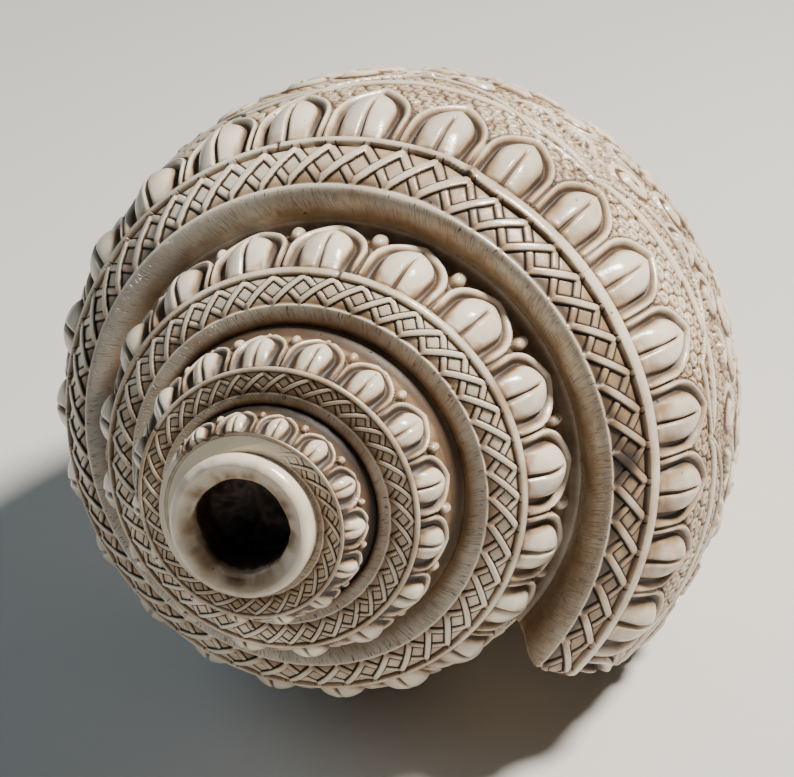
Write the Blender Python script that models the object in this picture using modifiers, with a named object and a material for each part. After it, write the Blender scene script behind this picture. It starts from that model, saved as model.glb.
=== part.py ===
"""Carved conch shell, used as a trumpet: its tip is sawn off as a blow hole.

The shell is one grown solid. Its outside is one helical surface that widens on every turn,
carved with a ledge, a lattice band, a cord and lotus petals, and its last turn runs down to
the siphonal canal. The blow hole, the chamber and the mouth are one continuous hollow.

Units are metres, +Z is up. The shell is modelled about its own axis, with the tip at the
top, and is then laid down on its lip, its belly and its canal, with the tip towards -Y.
"""
import math

import bmesh
import bpy
import numpy as np
from mathutils import Matrix, Vector

# Growth of the whorls. Angles run clockwise as seen from the tip.
SPIRE_UNIT = 0.040              # length that the growth numbers below are given in
CORD_RADIUS_AT_ZERO = 0.3227    # radius of the cord where the angle is zero
GROWTH = 0.07196                # natural logarithm of the growth in one radian
SLOWING = 8.36e-6               # what that logarithm loses, by the cube of the angle
SPIRE_DROP = (0.6074, 1.1686, -0.6563)   # fall of the cord below the tip, by powers of its radius
FIRST_ANGLE = math.radians(-234)
LIP_ANGLE = math.radians(1126)
COLUMNS_PER_TURN = 107

# Section of one whorl, in cord radii from the cord: outwards, and up towards the tip.
SHOULDER_STEEPNESS = 0.9345
SHOULDER_REACH = 0.178
WIDEST_OUT = 1.167
WIDEST_DOWN = 0.637
WIDEST_PULL = 0.233
LEDGE_OUT = (0.776, 0.0056)     # radius of the ledge's crest, and how it grows with the angle
LEDGE_UP = (-0.0355, 0.0105)
GROOVE_DEPTH = 0.10             # depth of the groove under the petals
LEDGE_SLOPE = (0.72, 0.86)      # share of the way from the groove to the crest, across and up
CREST_TO_FOOT = 0.86            # share of the way from the crest to the cord

# Carving, in metres.
CORD_HEIGHT = 0.0007
PETAL_BASE = 0.06               # places along the section, from 0 at the cord to 1 at the widest
PETAL_TIP = 0.62
PETAL_NOTCH = 0.50
PETAL_MIDDLE = 0.36
PETAL_SWELL = 0.0014
PETAL_RIM = 0.0006
PETAL_VALLEY = 0.0010
# Petals passed by some angles round the shell, in degrees: they crowd as the whorls widen.
PETALS_BY_ANGLE = ((-234, -9.1), (-68, -2.5), (6, 0.5), (247, 10.5), (377, 16.5), (598, 26.5),
                   (742, 33.5), (970, 47.5), (1051, 53.5), (1126, 59.5))
PETALS_START = math.radians(-150)
PETALS_EMERGE = 0.9             # angle over which the petals come out from under the rim
FULL_RELIEF_RADIUS = 0.030      # whorls smaller than this have shallower carving
SCROLL_HEIGHT = 0.0006          # lumps of the scrolls on the last turn
SCROLLS_PER_TURN = 27
SCROLL_ROWS = 3

# Body and canal.
TIP_TO_CANAL = 0.171
CANAL_RADIUS = (0.0140, 0.0245)  # outside, where the last turn starts and at the lip
BODY_ROWS = 8
WAIST = 0.45                    # share of a waisted curve in the body's narrowing
FULLNESS = 1.5                  # how soon the rest of that curve narrows

# Blow hole, with a thick rounded rim left where the tip was sawn off.
HOLE_RADIUS = 0.0063
HOLE_BOTTOM = -0.0175
RIM_RADIUS = 0.0098
RIM_TOP = -0.0086
RIM_FOOT = -0.0200
SAW_HEIGHT = -0.0105
ROUND_STEPS = 26

# Hollow: oval in the spire, and as long as the mouth at the lip.
HOLLOW_START = math.radians(-40)
HOLLOW_SIDES = 12
HOLLOW_STEPS_PER_TURN = 16
HOLLOW_CENTRE = (0.60, -0.53)   # in cord radii, as are the next two
HOLLOW_WIDE = 0.38
HOLLOW_HIGH = 0.33
MOUTH_TOP = -0.20
MOUTH_TURN = math.radians(400)  # the stretch over which the oval grows into the mouth
MOUTH_SPREAD = 1.3              # how late in that stretch the mouth widens
MOUTH_BOW = 0.6                 # how square the mouth's ends are
WALL = 0.0034                   # outer wall at the mouth
INNER_WALL = 0.0016             # what the mouth adds on the whorl inside it
THINNEST_HOLLOW = 0.0024
PAST_END = 0.0020               # how far a cutter runs past what it cuts

# Resting place.
REST_PITCH = math.radians(15.65)  # rise of the axis towards the tip
REST_ROLL = math.radians(97.27)  # the angle round the axis that points down


def cord_radius(angle):
    growth = GROWTH * angle - SLOWING * angle ** 3
    return SPIRE_UNIT * CORD_RADIUS_AT_ZERO * math.exp(growth)


def cord_height(angle):
    size = cord_radius(angle) / SPIRE_UNIT
    return -SPIRE_UNIT * sum(c * size ** (k + 1) for k, c in enumerate(SPIRE_DROP))


def shoulder(place):
    """Section below the cord: 0 is the cord, 1 the widest level. In cord radii."""
    start = (1.0, 0.0)
    pull_a = (1 + SHOULDER_REACH * math.cos(SHOULDER_STEEPNESS),
              -SHOULDER_REACH * math.sin(SHOULDER_STEEPNESS))
    pull_b = (WIDEST_OUT, -WIDEST_DOWN + WIDEST_PULL)
    end = (WIDEST_OUT, -WIDEST_DOWN)
    rest = 1 - place
    weights = (rest ** 3, 3 * rest ** 2 * place, 3 * rest * place ** 2, place ** 3)
    return tuple(sum(w * p[k] for w, p in zip(weights, (start, pull_a, pull_b, end)))
                 for k in (0, 1))


def section_point(angle, out, up):
    return cord_radius(angle) * out, cord_height(angle) + cord_radius(angle) * up


def ledge_crest(angle):
    return section_point(angle, LEDGE_OUT[0] + LEDGE_OUT[1] * angle,
                         LEDGE_UP[0] + LEDGE_UP[1] * angle)


def petal_edge(angle):
    """Radius and height of the petal tips, or of the rim where the petals haven't started."""
    radius, height = section_point(angle, *shoulder(PETAL_TIP))
    blend = min(max((angle - PETALS_START) / PETALS_EMERGE + 0.5, 0.0), 1.0)
    inside_rim = RIM_RADIUS - 0.0006
    return inside_rim + (radius - inside_rim) * blend, height


def groove(angle):
    """Bottom of the groove above the whorl at angle, under the petals of the turn before."""
    tip_radius, tip_height = petal_edge(angle - 2 * math.pi)
    crest_radius, crest_height = ledge_crest(angle)
    radius = min(tip_radius + 0.25 * (crest_radius - tip_radius), 0.9 * crest_radius)
    return radius, min(tip_height, crest_height) - GROOVE_DEPTH * cord_radius(angle)


def petal_count(angle):
    """Petals passed up to an angle: a whole number between two petals."""
    return float(np.interp(math.degrees(angle), *zip(*PETALS_BY_ANGLE)))


def petal_bulge(angle):
    """1 at the middle of a petal and 0 in the valley between two."""
    return 0.5 - 0.5 * math.cos(2 * math.pi * petal_count(angle))


def between(one, two, across, up):
    return one[0] + across * (two[0] - one[0]), one[1] + up * (two[1] - one[1])


def raised(radius, height, amount, slope):
    """Point moved off the surface by amount, along a normal that leans slope from level."""
    return radius + amount * math.cos(slope), height + amount * math.sin(slope)


def whorl_rows(angle):
    """Radius and height of the carved rows of one column, from the groove down to the petals."""
    crest = ledge_crest(angle)
    above = groove(angle)
    ledge_in = between(above, crest, *LEDGE_SLOPE)
    cord = section_point(angle, 1.0, 0.0)
    foot = between(crest, cord, CREST_TO_FOOT, CREST_TO_FOOT)
    bulge = petal_bulge(angle) if angle > PETALS_START else 0.5
    base = section_point(angle, *shoulder(PETAL_BASE))
    middle = section_point(angle, *shoulder(PETAL_MIDDLE))
    edge = section_point(angle, *shoulder(PETAL_NOTCH + (PETAL_TIP - PETAL_NOTCH) * bulge))
    small = min(1.0, cord_radius(angle) / FULL_RELIEF_RADIUS)
    swell = -PETAL_VALLEY + (PETAL_VALLEY + PETAL_SWELL) * bulge
    rim = -PETAL_VALLEY + (PETAL_VALLEY + PETAL_RIM) * bulge
    return [
        ledge_in,
        crest,
        foot,
        raised(*cord, CORD_HEIGHT * small, 1.0),
        base,
        raised(*middle, swell * small, 0.5),
        raised(*edge, rim * small, 0.2),
    ]


def body_rows(angle, steps=BODY_ROWS, length=TIP_TO_CANAL):
    """Rows of the last turn from the petals down to the end of the canal."""
    share = (angle - (LIP_ANGLE - 2 * math.pi)) / (2 * math.pi)
    canal = CANAL_RADIUS[0] + (CANAL_RADIUS[1] - CANAL_RADIUS[0]) * max(share, -0.5)
    rows = [section_point(angle, *shoulder(0.80))]
    widest = section_point(angle, WIDEST_OUT, -WIDEST_DOWN)
    drop = -length - widest[1]
    for k in range(steps):
        t = k / (steps - 1)
        waisted = 0.5 + 0.5 * math.cos(math.pi * t)
        full = max(math.cos(math.pi / 2 * t), 0.0) ** FULLNESS
        narrow = WAIST * waisted + (1 - WAIST) * full
        rows.append((canal + (widest[0] - canal) * narrow, widest[1] + drop * t))
    return rows


def scroll_relief(angle, row):
    """Height of the carved scrolls on one row of the last turn."""
    if row > SCROLL_ROWS:
        return 0.0
    return SCROLL_HEIGHT * math.sin(SCROLLS_PER_TURN * angle + 2.1 * row)


def outline_radius(angle, height):
    """Outside radius of a turn at a height, without its carving. Turns before the last one
    are wound inside it, and end higher up on the columella."""
    grown = min(cord_radius(angle) / cord_radius(LIP_ANGLE - 2 * math.pi), 1.0)
    body = body_rows(angle, 24, TIP_TO_CANAL * grown ** 2)
    rows = [section_point(angle, *shoulder(k / 8)) for k in range(8)] + body[1:]
    radii, heights = zip(*rows[::-1])
    return float(np.interp(height, heights, radii))


def around_axis(radius, angle, height):
    return Vector((radius * math.cos(angle), -radius * math.sin(angle), height))


def outer_solid():
    """The solid outside of the shell, as one closed mesh wound about the axis."""
    mesh = bmesh.new()
    step = 2 * math.pi / COLUMNS_PER_TURN
    count = round((LIP_ANGLE - FIRST_ANGLE) / step)
    angles = [LIP_ANGLE - step * (count - k) for k in range(count + 1)]
    last_turn = count - COLUMNS_PER_TURN
    columns = []
    for angle in angles:
        points = [groove(angle)] + whorl_rows(angle)
        columns.append([mesh.verts.new(around_axis(r, angle, z)) for r, z in points])
    for k, column in enumerate(columns):
        if k < last_turn:
            column.append(columns[k + COLUMNS_PER_TURN][0])
        elif k == last_turn:
            column.append(columns[count][0])
    for k in range(last_turn, count + 1):
        rows = [(r + scroll_relief(angles[k], row), z)
                for row, (r, z) in enumerate(body_rows(angles[k]))]
        if k == last_turn:
            rows = rows[1:]
        columns[k] += [mesh.verts.new(around_axis(r, angles[k], z)) for r, z in rows]
    for k in range(count):
        rows = min(len(columns[k]), len(columns[k + 1]))
        for j in range(rows - 1):
            corners = (columns[k][j], columns[k + 1][j], columns[k + 1][j + 1], columns[k][j + 1])
            mesh.faces.new(corners)
    start, end = columns[last_turn][len(columns[0]) - 1:], columns[count]
    mesh.faces.new(end + start[:0:-1])
    mesh.faces.new([columns[k][-1] for k in range(last_turn, count + 1)])
    tip = mesh.verts.new((0, 0, 0.002))
    opening = [columns[k][0] for k in range(COLUMNS_PER_TURN + 1)] + columns[0][-2:0:-1]
    for one, two in zip(opening, opening[1:] + opening[:1]):
        mesh.faces.new((one, two, tip))
    bmesh.ops.triangulate(mesh, faces=mesh.faces, quad_method="BEAUTY", ngon_method="BEAUTY")
    bmesh.ops.recalc_face_normals(mesh, faces=mesh.faces)
    data = bpy.data.meshes.new("shell")
    mesh.to_mesh(data)
    mesh.free()
    return data


def hollow_section(angle):
    """Radius and height round the hollow at one angle: an oval that opens into the mouth."""
    middle = section_point(angle, *HOLLOW_CENTRE)
    size = cord_radius(angle)
    top = section_point(angle, 0, MOUTH_TOP)[1]
    bottom = -TIP_TO_CANAL - PAST_END
    open_share = min(max(1 + (angle - LIP_ANGLE) / MOUTH_TURN, 0.0), 1.0) ** MOUTH_SPREAD
    points = []
    for k in range(HOLLOW_SIDES):
        turn = 2 * math.pi * k / HOLLOW_SIDES
        oval = (middle[0] + HOLLOW_WIDE * size * math.sin(turn),
                middle[1] + HOLLOW_HIGH * size * math.cos(turn))
        height = (top + bottom) / 2 + (top - bottom) / 2 * math.cos(turn)
        inner = outline_radius(angle - 2 * math.pi, height)
        outer = outline_radius(angle, height)
        half = max((outer - WALL - inner - INNER_WALL) / 2, THINNEST_HOLLOW / 2)
        bow = half * abs(math.sin(turn)) ** MOUTH_BOW
        mouth = ((inner + INNER_WALL + outer - WALL) / 2 + math.copysign(bow, math.sin(turn)),
                 height)
        points.append(tuple(o + (m - o) * open_share for o, m in zip(oval, mouth)))
    return points


def hollow_cutter():
    """The hollow from under the blow hole to the mouth, as one closed tube."""
    mesh = bmesh.new()
    end = LIP_ANGLE + math.radians(4)
    count = round((end - HOLLOW_START) / (2 * math.pi) * HOLLOW_STEPS_PER_TURN)
    rings = []
    for k in range(count + 1):
        angle = HOLLOW_START + (end - HOLLOW_START) * k / count
        points = hollow_section(min(angle, LIP_ANGLE))
        rings.append([mesh.verts.new(around_axis(r, angle, z)) for r, z in points])
    for one, two in zip(rings, rings[1:]):
        for k in range(HOLLOW_SIDES):
            after = (k + 1) % HOLLOW_SIDES
            mesh.faces.new((one[k], one[after], two[after], two[k]))
    mesh.faces.new(rings[0])
    mesh.faces.new(rings[-1])
    bmesh.ops.triangulate(mesh, faces=mesh.faces)
    bmesh.ops.recalc_face_normals(mesh, faces=mesh.faces)
    data = bpy.data.meshes.new("hollow")
    mesh.to_mesh(data)
    mesh.free()
    return data


def turned(name, profile, collection):
    """A solid turned about Z from a profile that runs down its outer side."""
    data = bpy.data.meshes.new(name)
    edges = [(k, k + 1) for k in range(len(profile) - 1)]
    data.from_pydata([(r, 0, z) for r, z in profile], edges, [])
    piece = bpy.data.objects.new(name, data)
    collection.objects.link(piece)
    screw = piece.modifiers.new("turn", "SCREW")
    screw.steps = ROUND_STEPS
    screw.render_steps = ROUND_STEPS
    screw.use_merge_vertices = True
    screw.merge_threshold = 0.00001
    return piece


def boolean(piece, other, operation):
    cut = piece.modifiers.new(other.name, "BOOLEAN")
    cut.operation = operation
    cut.object = other


def ivory():
    """Polished shell."""
    material = bpy.data.materials.new("carved_shell")
    material.use_nodes = True
    shader = material.node_tree.nodes["Principled BSDF"]
    shader.inputs["Base Color"].default_value = (0.68, 0.62, 0.54, 1)
    shader.inputs["Roughness"].default_value = 0.38
    shader.inputs["Metallic"].default_value = 0.0
    return material


for old in list(bpy.data.objects):
    bpy.data.objects.remove(old, do_unlink=True)

parts = bpy.data.collections.new("carved_conch_shell")
cutters = bpy.data.collections.new("cutters")
bpy.context.scene.collection.children.link(parts)
bpy.context.scene.collection.children.link(cutters)

shell = bpy.data.objects.new("shell", outer_solid())
shell.data.materials.append(ivory())
parts.objects.link(shell)

saw = turned("saw", [(0, 0.020), (0.030, 0.020), (0.030, SAW_HEIGHT), (0, SAW_HEIGHT)], cutters)
rim = turned("rim", [
    (0, RIM_TOP), (RIM_RADIUS - 0.0018, RIM_TOP), (RIM_RADIUS - 0.0007, RIM_TOP - 0.0004),
    (RIM_RADIUS, RIM_TOP - 0.0017), (RIM_RADIUS, RIM_FOOT), (0, RIM_FOOT),
], cutters)
bore = turned("bore", [
    (0, RIM_TOP + PAST_END), (HOLE_RADIUS + 0.0013, RIM_TOP + PAST_END),
    (HOLE_RADIUS + 0.0013, RIM_TOP - 0.0001), (HOLE_RADIUS + 0.0003, RIM_TOP - 0.0009),
    (HOLE_RADIUS, RIM_TOP - 0.0024), (HOLE_RADIUS, HOLE_BOTTOM), (0, HOLE_BOTTOM),
], cutters)
hollow = bpy.data.objects.new("hollow", hollow_cutter())
cutters.objects.link(hollow)

# The tip is sawn off, the rim added, and the hollow cut from the mouth up to the blow hole.
boolean(shell, saw, "DIFFERENCE")
boolean(shell, rim, "UNION")
boolean(shell, hollow, "DIFFERENCE")
boolean(shell, bore, "DIFFERENCE")

# The shell and its cutters hang on one empty, which lays them down and centres the shell.
resting_place = bpy.data.objects.new("resting_place", None)
parts.objects.link(resting_place)
for cutter in (saw, rim, bore, hollow):
    cutter.hide_render = True
    cutter.display_type = "WIRE"
for piece in (shell, saw, rim, bore, hollow):
    piece.parent = resting_place
laid_down = (Matrix.Rotation(math.pi / 2 - REST_PITCH, 4, "X")
             @ Matrix.Rotation(REST_ROLL - math.pi / 2, 4, "Z"))
finished = shell.evaluated_get(bpy.context.evaluated_depsgraph_get()).to_mesh()
corners = np.array([laid_down @ vertex.co for vertex in finished.vertices])
low, high = corners.min(axis=0), corners.max(axis=0)
centre = (low + high) / 2
resting_place.matrix_world = Matrix.Translation((-centre[0], -centre[1], -low[2])) @ laid_down
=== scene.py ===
"""Carved conch shell trumpet, lying on its lip with the blow hole towards the viewer."""
import math

import bmesh
import bpy
import numpy as np
from mathutils import Matrix, Vector, noise


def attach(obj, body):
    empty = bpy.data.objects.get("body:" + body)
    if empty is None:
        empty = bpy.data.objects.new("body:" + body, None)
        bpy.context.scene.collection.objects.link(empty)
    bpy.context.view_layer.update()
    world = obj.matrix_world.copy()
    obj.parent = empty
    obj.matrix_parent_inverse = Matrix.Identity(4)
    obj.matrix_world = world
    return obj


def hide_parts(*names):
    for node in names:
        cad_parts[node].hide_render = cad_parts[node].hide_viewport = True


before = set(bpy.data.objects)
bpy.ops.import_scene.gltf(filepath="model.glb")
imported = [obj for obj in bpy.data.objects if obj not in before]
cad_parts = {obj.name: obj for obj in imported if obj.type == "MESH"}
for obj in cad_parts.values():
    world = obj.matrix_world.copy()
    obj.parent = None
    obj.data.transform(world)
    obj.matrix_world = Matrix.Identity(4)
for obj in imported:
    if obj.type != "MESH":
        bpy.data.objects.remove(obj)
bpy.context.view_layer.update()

# ---------------------------------------------------------------------------------------------
# The carved spire: the turns above the last one, of thick polished shell that grew as one tube
# wound about an axis. Every turn has a smooth ledge, a band of woven straps, a thin cord and a
# row of lotus petals with beads between their tips, all cut from the shell itself.
# ---------------------------------------------------------------------------------------------
# The growth of the tube. Angles run clockwise as seen from the sawn tip and heights run up the
# axis to the tip. The cord's radius sets the size of all that lies round it.
FULL_TURN = 2 * math.pi
MM = 1000  # millimetres in a metre
SPIRE_UNIT = 0.040  # metres in one unit of the growth
CORD_RADIUS_AT_ZERO = 0.3227  # in units
GROWTH = 0.07196  # for each radian
SLOWING = 8.36e-6  # for each radian cubed
SPIRE_DROP = (0.6074, 1.1686, -0.6563)  # the cord's way down, by powers of its radius


def cord_radius(angle):
    return SPIRE_UNIT * CORD_RADIUS_AT_ZERO * np.exp(GROWTH * angle - SLOWING * angle ** 3)


def section_point(angle, out, up):
    """Radius and height of a point of the whorl's section, given in cord radii from the cord."""
    radius = cord_radius(angle)
    size = radius / SPIRE_UNIT
    height = -SPIRE_UNIT * sum(c * size ** (k + 1) for k, c in enumerate(SPIRE_DROP))
    return radius * out, height + radius * up


def curve(share, *points):
    """Point of a Bezier curve of any degree; the points are pairs."""
    while len(points) > 1:
        points = [tuple(a + (b - a) * share for a, b in zip(p, q))
                  for p, q in zip(points, points[1:])]
    return points[0]


# The whorl's section, in cord radii: out from the axis, and up from the cord.
SHOULDER_REACH, SHOULDER_SLOPE = 0.178, 0.9345
SHOULDER_PULL = (1 + SHOULDER_REACH * math.cos(SHOULDER_SLOPE),
                 -SHOULDER_REACH * math.sin(SHOULDER_SLOPE))
WIDEST = (1.167, -0.637)
WIDEST_PULL = 0.233
PETAL_TIP_PLACE = 0.62  # share of the shoulder that the petals cover
LEDGE_OUT = (0.776, 0.0056)  # at angle 0, and gained by each radian
LEDGE_UP = (-0.0355, 0.0105)
GROOVE_SHIFT, GROOVE_LIMIT, GROOVE_DEPTH = 0.14, 0.9, 0.035
PETALS_START, PETALS_SPREAD = math.radians(-150), 0.9
RIM_RADIUS = 0.0098  # of the sawn tip
RIM_COVER = 0.0006  # how far under the rim the petals' edge starts
SAW_HEIGHT = -0.0106


def shoulder(place):
    return curve(place, (1.0, 0.0), SHOULDER_PULL, (WIDEST[0], WIDEST[1] + WIDEST_PULL), WIDEST)


def ledge_crest(angle):
    return section_point(angle, *(start + gain * angle for start, gain in (LEDGE_OUT, LEDGE_UP)))


def petal_edge(angle):
    radius, height = section_point(angle, *shoulder(PETAL_TIP_PLACE))
    blend = np.clip((angle - PETALS_START) / PETALS_SPREAD + 0.5, 0, 1)
    inside_rim = RIM_RADIUS - RIM_COVER
    return inside_rim + (radius - inside_rim) * blend, height


def groove(angle):
    """Bottom of the groove between one whorl and the petals of the turn before."""
    tip = petal_edge(angle - FULL_TURN)
    crest = ledge_crest(angle)
    radius = np.minimum(tip[0] + GROOVE_SHIFT * (crest[0] - tip[0]), GROOVE_LIMIT * crest[0])
    return radius, np.minimum(tip[1], crest[1]) - GROOVE_DEPTH * cord_radius(angle)


def whorl_point(angle, row, last_turn):
    """Section of the carved surface by rows: 0 the groove, 1 the ledge's crest, 2 the cord,
    3 the petal tips, then the next groove at 4, or the widest level at 4 and the canal at 5."""
    bottom, crest = groove(angle), ledge_crest(angle)
    cord = section_point(angle, 1.0, 0.0)
    wide, deep = crest[0] - bottom[0], crest[1] - bottom[1]
    gentle = np.clip((angle - 9) / 6, 0, 1)  # the later ledges slope up more gently
    low_pull = (bottom[0] + 0.25 * gentle * wide, bottom[1] + (0.80 - 0.35 * gentle) * deep)
    high_pull = (bottom[0] + (0.25 + 0.30 * gentle) * wide, bottom[1] + 1.06 * deep)
    ledge = curve(np.clip(row, 0, 1), bottom, low_pull, high_pull, crest)
    crown = ((crest[0] + cord[0]) / 2 + 0.02 * cord[0], (crest[1] + cord[1]) / 2 + 0.03 * cord[0])
    band = curve(np.clip(row - 1, 0, 1), crest, crown, cord)
    if last_turn:
        place = np.where(row < 3, PETAL_TIP_PLACE * (row - 2),
                         PETAL_TIP_PLACE + (1 - PETAL_TIP_PLACE) * (row - 3))
        petals = section_point(angle, *shoulder(np.clip(place, 0, 1)))
        beyond = body_point(angle, np.clip(row - 4, 0, 1))
        limits = (1, 2, 4)
    else:
        petals = section_point(angle, *shoulder(np.clip(PETAL_TIP_PLACE * (row - 2), 0, 1)))
        edge, low = petal_edge(angle), groove(angle + FULL_TURN)
        bend = (edge[0] + 0.15 * (low[0] - edge[0]), edge[1] + 0.85 * (low[1] - edge[1]))
        beyond = curve(np.clip(row - 3, 0, 1), edge, bend, low)
        limits = (1, 2, 3)
    bands = (ledge, band, petals, beyond)
    which = np.searchsorted(limits, row, side="left") + 0 * angle.astype(int)
    return tuple(np.choose(which, [np.broadcast_to(b[k], which.shape) for b in bands])
                 for k in (0, 1))


def surface(angle, row, last_turn):
    radius, height = whorl_point(angle, row, last_turn)
    return np.stack([radius * np.cos(angle), -radius * np.sin(angle), height], -1)


# Where the shell lies: its axis rises towards the tip, and it has rolled onto its lip.
REST_PITCH = math.radians(15.65)
REST_ROLL = math.radians(97.27)
AXIS_PLACE = Vector((-0.0052413, -0.0881990, 0.0611357))
LAID_DOWN = (Matrix.Translation(AXIS_PLACE) @ Matrix.Rotation(math.pi / 2 - REST_PITCH, 4, "X")
             @ Matrix.Rotation(REST_ROLL - math.pi / 2, 4, "Z"))


def laid_down(places):
    """Points given about the shell's own axis, where they are once the shell lies down."""
    turned = np.array(LAID_DOWN.to_3x3())
    return places @ turned.T + np.array(AXIS_PLACE)


# How a carved piece is made: a flat grid that is wound round the shell, then cut.
CHORDS_TO_A_ROW = 40  # for the lengths over the section
SMALL_ANGLE, SMALL_ROW = 0.004, 0.012  # for the way that the surface faces
BORE_CLEARANCE = 0.0016  # how far in from the rim's radius the carving may come


def finished_mesh(name, mesh, places, normals, fields):
    """An object from a grid mesh whose points take their new places, normals and values."""
    data = bpy.data.meshes.new(name)
    mesh.to_mesh(data)
    mesh.free()
    data.vertices.foreach_set("co", places.ravel())
    for label, values in fields.items():
        if values.ndim == 1:
            data.attributes.new(label, "FLOAT", "POINT").data.foreach_set("value", values)
        else:
            spot = data.attributes.new(label, "FLOAT_VECTOR", "POINT")
            spot.data.foreach_set("vector", values.ravel())
    data.update()
    data.shade_smooth()
    if normals is not None:
        data.normals_split_custom_set_from_vertices(normals)
    piece = bpy.data.objects.new(name, data)
    bpy.context.scene.collection.objects.link(piece)
    return piece


def unit(vectors):
    return vectors / np.maximum(np.linalg.norm(vectors, axis=-1, keepdims=True), 1e-15)


def one_more_each_way(steps):
    return np.concatenate([[2 * steps[0] - steps[1]], steps, [2 * steps[-1] - steps[-2]]])


def lengths_over_section(angle, row, last_turn):
    """Millimetres over the section from the groove to each row, and to rows 0, 1, 2 and on."""
    chords = CHORDS_TO_A_ROW * (5 if last_turn else 4)
    fine_rows = np.linspace(0, chords // CHORDS_TO_A_ROW, chords + 1)[None, :]
    steps = np.diff(surface(angle[:, :1], fine_rows, last_turn), axis=1)
    steps = np.linalg.norm(steps, axis=-1) * MM
    total = np.concatenate([np.zeros((len(angle), 1)), np.cumsum(steps, 1)], 1)
    cell = np.clip(row[0] * CHORDS_TO_A_ROW, 0, chords)
    low = np.minimum(cell.astype(int), chords - 1)
    reach = total[:, low] + (total[:, low + 1] - total[:, low]) * (cell - low)
    return reach, [total[:, k:k + 1] for k in range(0, chords + 1, CHORDS_TO_A_ROW)]


def wound_sheet(name, angles, rows, last_turn, carve):
    """A flat grid wound round the shell and carved: each lengthwise step of the grid takes one
    angle and each crosswise step one row of the section. carve gives the height of the relief
    in millimetres, how stained the surface is together with its painted shade, and the run of the
    woven straps."""
    mesh = bmesh.new()
    bmesh.ops.create_grid(mesh, x_segments=len(angles) - 1, y_segments=len(rows) - 1, size=1)
    flat = np.array([vertex.co[:2] for vertex in mesh.verts])
    i = np.rint((flat[:, 0] + 1) / 2 * (len(angles) - 1)).astype(int) + 1
    j = np.rint((flat[:, 1] + 1) / 2 * (len(rows) - 1)).astype(int) + 1
    angle, row = one_more_each_way(angles), one_more_each_way(rows)
    angle, row = angle[:, None] + 0 * row, 0 * angle[:, None] + row

    place = surface(angle, row, last_turn)
    along = (surface(angle + SMALL_ANGLE, row, last_turn)
             - surface(angle - SMALL_ANGLE, row, last_turn))
    across = surface(angle, row + SMALL_ROW, last_turn) - surface(angle, row - SMALL_ROW, last_turn)
    reach, marks = lengths_over_section(angle, row, last_turn)
    relief, stain_and_shade, weave = carve(angle, row, reach, marks)
    place = place + unit(np.cross(along, across)) * relief[..., None] / MM

    radius = np.linalg.norm(place[..., :2], axis=-1, keepdims=True)
    place[..., :2] *= np.maximum(radius, RIM_RADIUS - BORE_CLEARANCE) / np.maximum(radius, 1e-9)
    place[..., 2] = np.minimum(place[..., 2], SAW_HEIGHT)
    place = laid_down(place)
    place[..., 2] = np.maximum(place[..., 2], 0)
    shade = unit(np.cross(np.gradient(place, axis=0), np.gradient(place, axis=1)))

    radius = cord_radius(angle) * MM
    sweep = np.stack([angle * radius, reach, radius], -1)
    fields = {"stain_and_shade": stain_and_shade[i, j], "row": row[i, j], "weave": weave[i, j], "sweep": sweep[i, j]}
    piece = finished_mesh(name, mesh, place[i, j], shade[i, j], fields)
    return piece, place[1:-1, 1:-1]


def spaced(*bands):
    """Rows of the grid: each band is its first row, its last row and its number of steps."""
    rows = [bands[0][0]]
    for low, high, count in bands:
        rows += list(np.linspace(low, high, count + 1)[1:])
    return np.array(rows, float)


def shell_piece(piece, material):
    piece.data.materials.append(material)
    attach(piece, "root")
    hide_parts("shell")


# The shell's substance: polished ivory that is greyer where it is worn, warm brown where wax
# and dirt have stayed in the cuts, with fine scratches, pits and the lines of the lattice. The
# same browns and near black also paint shade into the grooves, the hollows and the bore.
class Wire:
    """A shader socket that arithmetic works on; make adds any other node to its tree."""

    def __init__(self, tree, socket=None):
        self.tree, self.socket = tree, socket

    def make(self, kind, settings, sockets, output=0):
        node = self.tree.nodes.new(kind)
        for name, value in settings.items():
            setattr(node, name, value)
        for name, value in sockets.items():
            if isinstance(value, Wire):
                self.tree.links.new(value.socket, node.inputs[name])
            else:
                node.inputs[name].default_value = value
        return Wire(self.tree, node.outputs[output])

    def maths(self, operation, *values):
        return self.make("ShaderNodeMath", {"operation": operation}, dict(enumerate(values)))

    def __add__(self, other):
        return self.maths("ADD", self, other)

    def __radd__(self, other):
        return self.maths("ADD", other, self)

    def __sub__(self, other):
        return self.maths("SUBTRACT", self, other)

    def __rsub__(self, other):
        return self.maths("SUBTRACT", other, self)

    def __mul__(self, other):
        return self.maths("MULTIPLY", self, other)

    def __rmul__(self, other):
        return self.maths("MULTIPLY", other, self)

    def __abs__(self):
        return self.maths("ABSOLUTE", self)

    def larger(self, other):
        return self.maths("MAXIMUM", self, other)

    def rises(self, low, high, to_low=0.0, to_high=1.0):
        return self.make("ShaderNodeMapRange", {"interpolation_type": "SMOOTHSTEP"},
                         {"Value": self, "From Min": low, "From Max": high,
                          "To Min": to_low, "To Max": to_high})

    def fades(self, low, high):
        return self.rises(low, high, 1.0, 0.0)

    def vector(self, x, y, z):
        return self.make("ShaderNodeCombineXYZ", {}, {"X": x, "Y": y, "Z": z})

    def parts(self):
        return [self.make("ShaderNodeSeparateXYZ", {}, {"Vector": self}, k) for k in range(3)]

    def noise(self, place, scale, detail, rough):
        return self.make("ShaderNodeTexNoise", {}, {"Vector": place, "Scale": scale,
                                                    "Detail": detail, "Roughness": rough})

    def tint(self, share, one, two):
        return self.make("ShaderNodeMix", {"data_type": "RGBA", "clamp_factor": True},
                         {0: share, 6: one, 7: two}, 2)


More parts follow.
